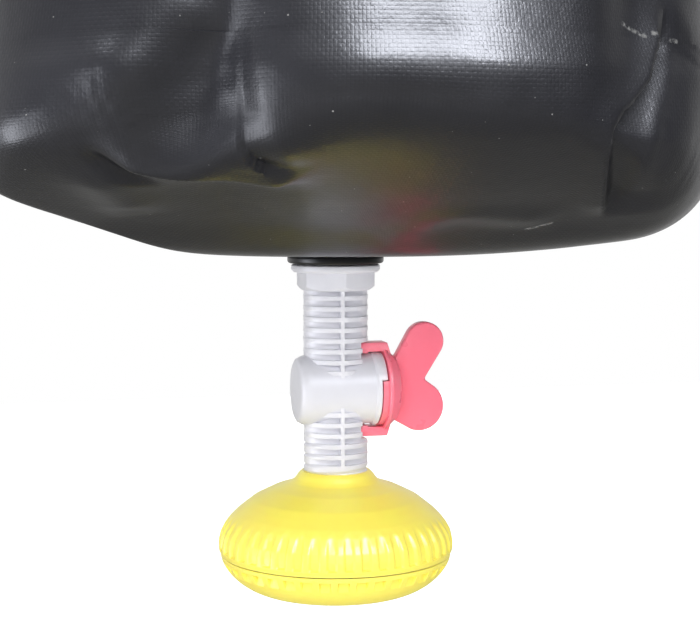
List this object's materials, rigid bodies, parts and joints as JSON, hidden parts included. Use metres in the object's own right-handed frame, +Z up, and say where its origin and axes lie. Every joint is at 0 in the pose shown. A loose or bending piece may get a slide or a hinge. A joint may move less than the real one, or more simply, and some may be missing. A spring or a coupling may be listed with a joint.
{
  "type": "camp shower bag",
  "caption": "Roll-top water bag that hangs by its buckled loop, with a quarter-turn tap and a two-part spray head under its base.",
  "frame": {"origin": "the hang point, under the middle of the closed buckle, which rests on a hook or a branch", "axes": "+Z up; +X along the rolled mouth and the tap's barrel, towards the tap's key; -Y the front of the tap"},
  "size_m": [0.2256, 0.2158, 0.6125],
  "materials": {
    "base_cup": "glossy coated weave",
    "bag_body": "glossy coated weave",
    "rolled_mouth": "glossy coated weave",
    "stiffener_strip": "matt",
    "strap_left": "woven webbing",
    "strap_right": "woven webbing",
    "buckle_socket": "satin moulded",
    "buckle_plug": "satin moulded",
    "prong_front": "satin moulded",
    "prong_back": "satin moulded",
    "outer_gasket": "smooth, slightly glossy",
    "inner_gasket": "smooth",
    "inner_nut": "satin moulded",
    "valve_body": "satin moulded",
    "tap_key": "satin to glossy moulded",
    "oring_blind_end": "smooth",
    "oring_key_end": "smooth",
    "head_dome": "satin to glossy moulded",
    "head_gasket": "smooth",
    "rose_seal": "smooth",
    "rose_cap": "satin to glossy moulded"
  },
  "bodies": {
    "bag": {"bag_body": "bag_body", "base_cup": "base_cup", "rolled_mouth": "rolled_mouth", "stiffener_strip": "stiffener_strip", "strap_left": "strap_left", "strap_right": "strap_right", "buckle_socket": "buckle_socket", "buckle_plug": "buckle_plug", "outer_gasket": "outer_gasket", "inner_gasket": "inner_gasket", "inner_nut": "inner_nut", "valve_body": "valve_body"},
    "key": {"tap_key": "tap_key", "oring_blind_end": "oring_blind_end", "oring_key_end": "oring_key_end"},
    "head_travel": {"head_gasket": "head_gasket"},
    "head": {"head_dome": "head_dome"},
    "rose_travel": {"rose_seal": "rose_seal"},
    "rose": {"rose_cap": "rose_cap"},
    "front_prong": {"prong_front": "prong_front"},
    "back_prong": {"prong_back": "prong_back"}
  },
  "joints": [
    {"name": "tap_turn", "type": "hinge", "parent": "bag", "child": "key", "pos_m": [0, 0, -0.54244], "axis": [1, 0, 0], "range_deg": [0, 90]},
    {"name": "head_travel", "type": "slide", "parent": "bag", "child": "head_travel", "axis": [0, 0, -1], "range_m": [0, 0.012]},
    {"name": "head_turn", "type": "hinge", "parent": "head_travel", "child": "head", "pos_m": [0, 0, -0.58], "axis": [0, 0, -1], "range_deg": [0, 1440]},
    {"name": "rose_travel", "type": "slide", "parent": "head", "child": "rose_travel", "axis": [0, 0, -1], "range_m": [0, 0.0036]},
    {"name": "rose_turn", "type": "hinge", "parent": "rose_travel", "child": "rose", "pos_m": [0, 0, -0.59], "axis": [0, 0, -1], "range_deg": [0, 432]},
    {"name": "front_prong_squeeze", "type": "hinge", "parent": "bag", "child": "front_prong", "pos_m": [0.0032, -0.0085, 0.0045], "axis": [0, 0, -1], "range_deg": [0, 6], "stiffness_Nm_per_rad": 0.8},
    {"name": "back_prong_squeeze", "type": "hinge", "parent": "bag", "child": "back_prong", "pos_m": [0.0032, 0.0085, 0.0045], "axis": [0, 0, 1], "range_deg": [0, 6], "stiffness_Nm_per_rad": 0.8}
  ],
  "couplings": [
    {"joint": "head_travel", "follows": "head_turn", "m_per_rad": 0.00047746},
    {"joint": "rose_travel", "follows": "rose_turn", "m_per_rad": 0.00047746}
  ]
}
